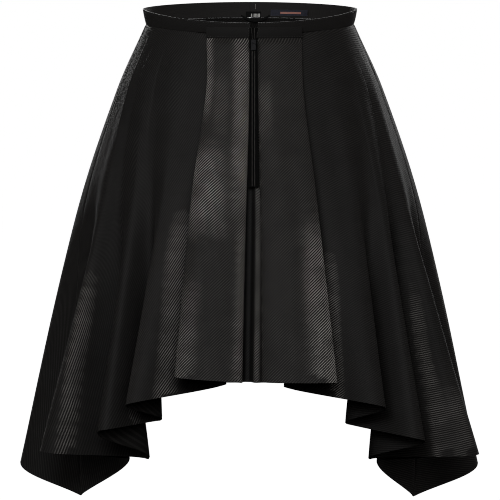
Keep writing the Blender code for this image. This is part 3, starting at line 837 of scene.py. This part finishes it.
def tuck_face(points, alongs, shares):
    """Draw the top of a front panel's face in and up, behind the centre band."""
    x, y = points[..., 0], points[..., 1]
    level = np.hypot(x / WAIST.half_width, y / WAIST.half_front)
    outward = np.stack((x / WAIST.half_width**2, y / WAIST.half_front**2), axis=-1)
    length = np.linalg.norm(outward, axis=-1)
    out = (level - 1) * level / length
    alongs = np.array(alongs)
    on_face = soft_step((alongs - 1) / FACE_TUCK_EDGE) * soft_step((2 - alongs) / FACE_TUCK_EDGE)
    near_top = 1 - soft_step(shares / FACE_TUCK_SHARES[-1])
    tucked = near_top[:, None] * on_face
    inward = np.maximum(out - FACE_TUCK_OUT_MM, 0) * tucked / length
    points[..., :2] -= outward * inward[..., None]
    points[..., 2] += FACE_TUCK_UP_MM * tucked


FAN_SHARES = {
    "left": ((4.0, 1.0), (5.0, 0.1), (6.0, 1.1), (7.0, 0.1), (8.1, 1.25), (CENTRE_BACK, 1.0)),
    "right": ((4.0, 1.15), (5.0, 0.5), (6.0, 1.0), (7.0, 0.5), (8.1, 1.0), (CENTRE_BACK, 1.0)),
}


def fan_shares(alongs, table):
    """The share of the fan that each column of the weave map takes, from a table of folds."""
    middles = (np.array(alongs[1:]) + np.array(alongs[:-1])) / 2
    return np.array([next(share for until, share in table if m < until) for m in middles])


fans = {"left": 0.0, "right": 0.0}
panel_points = {}
for panel in PANELS:
    for side_name, side, folds in SIDES:
        alongs = thread_places(panel, folds)
        in_front = panel.node == "front_panel"
        close = TUCK_SHARES + FACE_TUCK_SHARES if in_front else TUCK_SHARES
        shares = np.sort(np.concatenate((close, np.linspace(0.0, 1.0, ROWS + 1))))
        points = np.array([chain_row(folds, share, alongs) for share in shares])
        shares_here = fan_shares(alongs, FAN_SHARES[side_name])
        weave, fans[side_name] = flat_cut(points, fans[side_name], shares_here)
        cut, _ = flat_cut(points)
        pressed_and_painted = stroke_sum(SHINE_AND_PAINTED_LIGHT_PLACES, points, alongs, side_name, folds, sharp=4)
        # Painted light: the panel's own level outside the pressed places, painted shade where it is
        # below 0.
        shine = panel.plain * (1 - np.clip(pressed_and_painted, 0, 1)) + pressed_and_painted
        shift = stroke_sum(CREASES, points, alongs, side_name, folds) + drape_shift(points, side)
        shift *= soft_step(shares / CREASE_START_SHARE)[:, None]
        shift += seam_dip(points, panel.sewn_start, panel.sewn_end)
        tucked = 1 - soft_step(shares / TUCK_SHARES[-1])[:, None]
        shift -= TUCK_IN_MM * tucked
        points = points + face_normals(points) * shift[..., None]
        points[..., 2] += TUCK_UP_MM * tucked
        lap_seams(points, panel)
        if in_front:
            tuck_face(points, alongs, shares)
        panel_points[panel.node, side_name] = (points, alongs)
        piece = lay_cloth(
            f"{panel.name}_{side_name}", points, weave, side, TWILL, pressed_and_painted=np.clip(shine, -1, 1)
        )
        declare_cloth(piece, cut, f"{panel.node}_{side_name}")
        print("  fan so far in degrees:", round(math.degrees(fans[side_name])))

# %% [markdown]
# The inverted pleat under the zip has its own piece behind it, the underlay. It dips back into
# a deep gap beside the left pleat edge, darkened further by painted shade, and rises beside the
# right one, where it shows as a narrow ribbed strip with a painted highlight on its ridges.

# %% Underlay of the pleat
UNDERLAY_TOP_SHARE = 0.26
UNDERLAY_DIP_TOP, UNDERLAY_DIP_HEM = 4.0, 9.5
UNDERLAY_DIP_AT, UNDERLAY_DIP_WIDE = 0.40, 0.095
UNDERLAY_RISE, UNDERLAY_RISE_AT, UNDERLAY_RISE_WIDE = 3.2, 0.59, 0.085
UNDERLAY_RISE_START, UNDERLAY_RISE_FULL = 0.45, 0.62
UNDERLAY_GAP = 0.4
UNDERLAY_COLUMNS, UNDERLAY_ROWS = 60, 70
# A painted highlight on the risen strip and painted shade in the gap beside the left edge.
UNDERLAY_SHINE, UNDERLAY_SHINE_AT, UNDERLAY_SHINE_WIDE = 0.4, 0.575, 0.07
UNDERLAY_PAINTED_SHADE, UNDERLAY_PAINTED_SHADE_AT = 1.0, 0.40


def swell(across, middle, half_width):
    """A soft bump of height 1 with a flat top round the middle."""
    return np.exp(-(((across - middle) / half_width) ** 4))


underlay = []
underlay_shine_and_painted_light = []
for share in np.linspace(UNDERLAY_TOP_SHARE, 1.0, UNDERLAY_ROWS + 1):
    left = chain_row(LEFT_FOLDS, share, [0.0])[0] * (-1, 1, 1)
    right = chain_row(RIGHT_FOLDS, share, [0.0])[0]
    down = (share - UNDERLAY_TOP_SHARE) / (1 - UNDERLAY_TOP_SHARE)
    dip = UNDERLAY_DIP_TOP + (UNDERLAY_DIP_HEM - UNDERLAY_DIP_TOP) * down
    risen = (share - UNDERLAY_RISE_START) / (UNDERLAY_RISE_FULL - UNDERLAY_RISE_START)
    rise = UNDERLAY_RISE * np.clip(risen, 0.0, 1.0)
    across = np.linspace(0.0, 1.0, UNDERLAY_COLUMNS + 1)
    row = left + (right - left) * across[:, None]
    row[:, 1] += UNDERLAY_GAP + dip * swell(across, UNDERLAY_DIP_AT, UNDERLAY_DIP_WIDE)
    row[:, 1] -= rise * swell(across, UNDERLAY_RISE_AT, UNDERLAY_RISE_WIDE)
    underlay.append(row)
    # Painted highlight on the strip, less painted shade in the gap.
    shine = UNDERLAY_SHINE * swell(across, UNDERLAY_SHINE_AT, UNDERLAY_SHINE_WIDE)
    shine -= UNDERLAY_PAINTED_SHADE * swell(across, UNDERLAY_PAINTED_SHADE_AT, UNDERLAY_DIP_WIDE)
    underlay_shine_and_painted_light.append(np.clip(shine, -1, 1))
underlay = np.array(underlay)
cut, _ = flat_cut(underlay)
piece = lay_cloth("underlay_cloth", underlay, cut, 1, TWILL, pressed_and_painted=np.array(underlay_shine_and_painted_light))
declare_cloth(
    piece, cut, "pleat_underlay"
)

# %% [markdown]
# The waistband is a narrow, stiff strip that stands up a little outward from the seam. Over the
# two front panels a second, lower strip covers their tops, and the zip parts it in the middle.
# Fine stitches run along the band's top edge, the strips' feet and their ends at the zip.

# %% Waistband and centre bands
BAND_COLUMNS, BAND_ROWS = 120, 10
CENTRE_BAND_TOP, CENTRE_BAND_FOOT, CENTRE_BAND_OUT = 0.4, -12.6, 5.8
CENTRE_BAND_SHADE = -0.35
BAND_BULGE, CENTRE_BAND_BULGE = 0.35, 0.4
BAND_END_TURN = {"left": (0.0, 0.0), "right": (0.5, -0.9)}
TOP_STITCH_RISE, TOP_STITCH_OUT = 0.9, 0.15
FOOT_STITCH_UP, EDGE_STITCH_IN, STITCH_OUT = 1.4, 0.8, 0.1


def band_point(degrees, rise, out):
    """A point of the waistband's outer face: rise is 0 at its seam and 1 at its top edge."""
    x, y = on_ring(WAIST, degrees, out + BAND_FLARE * rise)
    foot = around(SEAM_FRONT, SEAM_SIDE, SEAM_BACK, degrees)
    top = around(TOP_FRONT, TOP_SIDE, TOP_BACK, degrees)
    return x, y, foot + (top - foot) * rise


for side_name, side, folds in SIDES:
    start = folds[1].waist_deg
    rows = [
        [
            band_point(degrees, rise, BAND_BULGE * math.sin(math.pi * rise))
            for degrees in np.linspace(start, 180.0, BAND_COLUMNS + 1)
        ]
        for rise in np.linspace(1.0, 0.0, BAND_ROWS + 1)
    ]
    points = np.array(rows)
    cut, _ = flat_cut(points)
    piece = lay_cloth(f"waistband_cloth_{side_name}", points, cut, side, BAND_TWILL)
    declare_cloth(
        piece, cut, f"waistband_{side_name}", held="stretched"
    )
    rows = []
    for height in np.linspace(CENTRE_BAND_TOP, CENTRE_BAND_FOOT, 9):
        down = (CENTRE_BAND_TOP - height) / (CENTRE_BAND_TOP - CENTRE_BAND_FOOT)
        bulge = CENTRE_BAND_BULGE * math.sin(math.pi * down)
        top_turn, foot_turn = BAND_END_TURN[side_name]
        end = folds[1].waist_deg + top_turn + (foot_turn - top_turn) * math.sin(down * math.pi / 2)
        row = []
        for degrees in np.linspace(end, folds[2].waist_deg, 41):
            x, y = on_ring(WAIST, degrees, CENTRE_BAND_OUT + bulge)
            row.append((x, y, height))
        rows.append(row)
    points = np.array(rows)
    cut, _ = flat_cut(points)
    mirror = np.array((side, 1, 1))
    top_row = [
        band_point(degrees, TOP_STITCH_RISE, TOP_STITCH_OUT)
        for degrees in np.linspace(start, 180.0, 200)
    ]
    foot_row = points[-1] + (0, -STITCH_OUT, FOOT_STITCH_UP)
    end_row = points[:, 0] + (EDGE_STITCH_IN, -STITCH_OUT, 0)
    rows_sewn = [sew_along(np.array(row) * mirror) for row in (top_row, foot_row, end_row)]
    lay_beads(f"band_stitches_{side_name}", sum(rows_sewn, []), THREAD)
    in_shade = np.full(points.shape[:2], CENTRE_BAND_SHADE)
    piece = lay_cloth(
        f"centre_band_cloth_{side_name}", points, cut, side, BAND_TWILL, pressed_and_painted=in_shade
    )
    declare_cloth(
        piece, cut, f"centre_band_{side_name}", "stretched"
    )

# %% [markdown]
# The zip has two woven tapes that meet edge to edge, and on them a fine nylon coil on each
# side. A coil is hundreds of small loops, so each loop is one small rounded bead, stretched
# across the tape, set down again and again along the tape's slope. The pull tab's end keeps a
# small lip, rubbed bright.

# %% Zip tapes and coil
ZIP_MIDDLE, ZIP_CREASE_GAP = 4.05, 0.35
ZIP_TAPE_THICK, ZIP_TAPE_OUT = 1.2, 3.4
ZIP_TOP, ZIP_LENGTH_SHARE = -0.5, 0.43
TAPE_ROWS = 60
TAPE_END_LINES = ((1.9, 2.7), (5.3, 5.8))
TAPE_END_OUT, TAPE_END_PITCH, TAPE_END_BEAD = 0.2, 0.7, (0.5, 0.35, 0.35)
LIP_SIZE, LIP_UP = (5.0, 1.5, 1.0), 0.2
COIL_PITCH_MM, COIL_OFF_MIDDLE, COIL_SINK = 1.1, 1.5, 0.25
COIL_HALF_SIZES = (0.8, 0.4, 0.42)
COIL_FROM_SHARE = 0.035


def tape_place(share):
    """Depth and height of the tapes' outer face in mm, at a share of the panels' length."""
    crease = chain_row(LEFT_FOLDS, share, [1.0])[0]
    return crease[1] + LEFT_FOLDS[1].waist_out - ZIP_TAPE_OUT, crease[2]


tape_shares = np.linspace(0.0, ZIP_LENGTH_SHARE, TAPE_ROWS + 1)
for side_name, side, folds in SIDES:
    rows = []
    for share in np.concatenate(([0.0], tape_shares)):
        depth, height = tape_place(share)
        height = height if rows else ZIP_TOP
        inner = side * ZIP_MIDDLE + SEAM_GAP / 2
        outer = chain_row(folds, share, [1.0])[0][0] - ZIP_CREASE_GAP
        rows.append([(x, depth, height) for x in np.linspace(inner, outer, 4)])
    points = np.array(rows)
    cut, _ = flat_cut(points)
    piece = lay_cloth(
        f"zip_tape_cloth_{side_name}", points, cut, side, ZIP_TAPE, ZIP_TAPE_THICK, 0.2
    )
    declare_cloth(
        piece, cut, f"zip_tape_{side_name}", "stretched"
    )

coil = []
zip_length = np.hypot(*(np.array(tape_place(ZIP_LENGTH_SHARE)) - tape_place(COIL_FROM_SHARE)))
for k in range(int(zip_length / COIL_PITCH_MM)):
    share = COIL_FROM_SHARE + (ZIP_LENGTH_SHARE - COIL_FROM_SHARE) * k * COIL_PITCH_MM / zip_length
    depth, height = tape_place(share)
    for side in (-1, 1):
        half_pitch = COIL_PITCH_MM / 2 if side > 0 else 0.0
        middle = (ZIP_MIDDLE + side * COIL_OFF_MIDDLE, depth - COIL_SINK, height - half_pitch)
        coil.append((middle, (1.0, 0.0, 0.0), COIL_HALF_SIZES))
lay_beads("zip_coil", coil, ZIP_COIL)

tape_depth, tape_top = tape_place(0.0)
tape_ends = []
for top_x, foot_x in TAPE_END_LINES:
    depth = tape_depth - TAPE_END_OUT
    line = [(top_x, depth, ZIP_TOP), (foot_x, depth, tape_top)]
    tape_ends += sew_along(line, TAPE_END_PITCH, TAPE_END_BEAD)
lay_beads("zip_tape_ends", tape_ends, ZIP_COIL)

lip = bmesh.new()
bmesh.ops.create_cube(lip, size=1.0)
bmesh.ops.scale(lip, vec=Vector(LIP_SIZE) * MM, verts=lip.verts)
bmesh.ops.bevel(
    lip, geom=lip.edges, offset=0.3 * MM, segments=3, profile=0.5, affect="EDGES", material=-1
)
pull = frame["nodes"]["zip_pull"]
pull_corners = np.array([pull.matrix_world @ Vector(corner) for corner in pull.bound_box])
pull_end = (ZIP_MIDDLE * MM, pull_corners[:, 1].mean(), pull_corners[:, 2].min() + LIP_UP * MM)
bmesh.ops.translate(lip, vec=pull_end, verts=lip.verts)
pull_lip = bring_in("pull_lip", lip, WORN_METAL)
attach(pull_lip, "pull_tab")
for node in ("zip_slider", "zip_pull"):
    frame["nodes"][node].data.materials.clear()
    frame["nodes"][node].data.materials.append(ZIP_METAL)
print("zip length in mm:", round(zip_length))

# %% [markdown]
# Inside the back of the band a maker sews a woven label, a small size tab and a loop to hang
# the skirt by. The real words are left off: the label keeps a plain band of coloured thread,
# and the tab a row of plain woven bars. Small stitches hold the label's edge.

# %% Label, size tab and loop
LINING_IN = CLOTH_MM + SEAM_GAP
Patch = namedtuple("Patch", "name node left right foot top thick material slot")
PATCHES = (
    Patch("label_cloth", "woven_label", 25.0, 70.0, 5.4, 12.8, 0.6, LABEL, "label"),
    Patch("size_tab_cloth", "size_tab", -5.0, 13.0, 3.4, 10.4, 0.6, RIBBON, "tab"),
)
STRIPE = (37.0, 62.0, 7.8, 10.2)
BARS = ((6.2, 1.2), (8.4, 0.8), (10.2, 1.9), (12.8, 1.4), (15.0, 2.2))
BAR_FOOT, BAR_TOP = 3.9, 7.8
WOVEN_RISE, WOVEN_THICK = 0.25, 0.3
LABEL_STITCH, BACK_STITCH = (2.2, (0.8, 0.15, 0.15)), (1.6, (0.9, 0.25, 0.25))
BACK_THREAD_X, BACK_THREAD_FOOT, BACK_THREAD_TOP = 6.4, 13.0, 20.0
LOOP_LEFT, LOOP_RIGHT, LOOP_HEIGHT = -11.0, 24.2, 4.0
LOOP_SAG, LOOP_TALL, LOOP_THICK, LOOP_STAND = 6.0, 2.8, 0.8, 2.6


def inside_back(x, height, inward):
    """A point in mm on the inside of the back band, this far in from the band's outer face."""
    degrees = 180 - math.degrees(math.asin(x / WAIST.half_width))
    foot = band_point(degrees, 0.0, 0.0)[2]
    top = band_point(degrees, 1.0, 0.0)[2]
    px, py, _ = band_point(degrees, (height - foot) / (top - foot), -inward)
    return px, py, height


def inside_patch(name, left, right, foot, top, inward, thick, material, columns=24, rows=6):
    """A small woven patch on the inside of the back band."""
    points = np.array(
        [
            [inside_back(x, height, inward) for x in np.linspace(right, left, columns + 1)]
            for height in np.linspace(top, foot, rows + 1)
        ]
    )
    cut, _ = flat_cut(points)
    return lay_cloth(name, points, cut, 1, material, thick, 0.12), cut


for patch in PATCHES:
    size = (patch.left, patch.right, patch.foot, patch.top)
    inward = LINING_IN + patch.thick
    piece, cut = inside_patch(patch.name, *size, inward, -patch.thick, patch.material)
    declare_cloth(piece, cut, patch.node, "laid")

threads_in = LINING_IN + PATCHES[0].thick
woven = [("label_stripe", STRIPE, RUST_THREAD, (24, 6), "label")]
for number, (left, width) in enumerate(BARS):
    x = PATCHES[1].left + left
    bar = (x, x + width, BAR_FOOT, BAR_TOP)
    woven.append((f"tab_bar_{number + 1}", bar, PALE_THREAD, (3, 3), "tab"))
for name, size, thread, grid, slot in woven:
    piece, _ = inside_patch(name, *size, threads_in + WOVEN_RISE, -WOVEN_THICK, thread, *grid)
    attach(piece, "skirt")
edges = PATCHES[0]
corners = (
    (edges.left, edges.foot),
    (edges.right, edges.foot),
    (edges.right, edges.top),
    (edges.left, edges.top),
)
outline = [
    inside_back(x, height, threads_in + 0.1)
    for (x0, h0), (x1, h1) in zip(corners, corners[1:] + corners[:1])
    for x, height in np.linspace((x0, h0), (x1, h1), 16)
]
lay_beads("label_stitches", sew_along(outline, *LABEL_STITCH), THREAD)
back_thread = [
    inside_back(BACK_THREAD_X, height, LINING_IN)
    for height in np.linspace(BACK_THREAD_FOOT, BACK_THREAD_TOP, 6)
]
lay_beads("back_seam_thread", sew_along(back_thread, *BACK_STITCH), PALE_THREAD)

loop_rows = []
for edge in (LOOP_TALL, 0.0):
    row = []
    for share in np.linspace(1.0, 0.0, 41):
        x = LOOP_LEFT + (LOOP_RIGHT - LOOP_LEFT) * share
        bow = math.sin(math.pi * share)
        px, py, pz = inside_back(x, LOOP_HEIGHT, LINING_IN)
        row.append((px, py - LOOP_STAND * bow - LOOP_THICK, pz + edge - LOOP_SAG * bow))
    loop_rows.append(row)
points = np.array(loop_rows)
cut, _ = flat_cut(points)
piece = lay_cloth("loop_ribbon", points, cut, 1, RIBBON, -LOOP_THICK, 0.15)
declare_cloth(piece, cut, "hanger_loop")

# %% [markdown]
# The skirt hangs as on a wearer, well above a plain pale floor. Black cloth gives the eye two
# things, its dull level and the glints along its ridges, so the lamps are parted in two kinds.
# Four broad walls of light, one on each side, give the level and no glints. A key lamp a little
# to the left of the camera and two lamps behind give the glints alone. The white backdrop lights
# nothing: it only stands behind, as in a cut-out picture.

# %% Floor, lights and room
FLOOR_HEIGHT = -1.0
FLOOR_GLOW = 1.0
floor_grid = bmesh.new()
bmesh.ops.create_grid(floor_grid, x_segments=4, y_segments=4, size=60.0)
bmesh.ops.translate(floor_grid, vec=(0.0, 0.0, FLOOR_HEIGHT), verts=floor_grid.verts)
floor_paint = bpy.data.materials.new("pale studio floor")
floor_paint.use_nodes = True
floor_shader = floor_paint.node_tree.nodes["Principled BSDF"]
floor_shader.inputs["Base Color"].default_value = linear("#f2f2f2")
floor_shader.inputs["Roughness"].default_value = 0.9
floor_shader.inputs["Emission Color"].default_value = (1.0, 1.0, 1.0, 1.0)
floor_shader.inputs["Emission Strength"].default_value = FLOOR_GLOW
floor = bring_in("floor", floor_grid, floor_paint)
floor.visible_diffuse = False
floor.visible_glossy = False

Lamp = namedtuple("Lamp", "name azimuth elevation distance width tall power glints")
LAMPS = (
    Lamp("key", -10, 24, 3.0, 1.0, 0.8, 62, True),
    Lamp("front wall", 0, 25, 3.4, 3.0, 2.4, 27, False),
    Lamp("left wall", -85, 25, 3.4, 3.0, 2.4, 27, False),
    Lamp("right wall", 85, 25, 3.4, 3.0, 2.4, 27, False),
    Lamp("back wall", 180, 25, 3.4, 3.0, 2.4, 27, False),
    Lamp("back left", -165, 24, 3.4, 1.2, 1.0, 120, True),
    Lamp("back right", 155, 24, 3.4, 1.2, 1.0, 60, True),
)
AIM = Vector((0.0, 0.0, -0.3))
for lamp in LAMPS:
    turn, rise = math.radians(lamp.azimuth), math.radians(lamp.elevation)
    away = Vector(
        (math.sin(turn) * math.cos(rise), -math.cos(turn) * math.cos(rise), math.sin(rise))
    )
    light = bpy.data.lights.new(lamp.name, "AREA")
    light.shape = "RECTANGLE"
    light.size = lamp.width
    light.size_y = lamp.tall
    light.energy = lamp.power
    holder = bpy.data.objects.new(lamp.name, light)
    holder.location = AIM + away * lamp.distance
    holder.rotation_euler = away.to_track_quat("Z", "Y").to_euler()
    holder.visible_glossy = lamp.glints
    holder.visible_diffuse = not lamp.glints
    bpy.context.scene.collection.objects.link(holder)

room = bpy.data.worlds.new("white backdrop")
bpy.context.scene.world = room
room.use_nodes = True
backdrop = room.node_tree.nodes["Background"]
backdrop.inputs["Color"].default_value = (1.0, 1.0, 1.0, 1.0)
backdrop.inputs["Strength"].default_value = 1.0
room.cycles_visibility.diffuse = False
room.cycles_visibility.glossy = False
bpy.context.scene.view_settings.view_transform = "Standard"
bpy.context.scene.cycles.filter_width = 1.0
print("lamps:", [lamp.name for lamp in LAMPS])
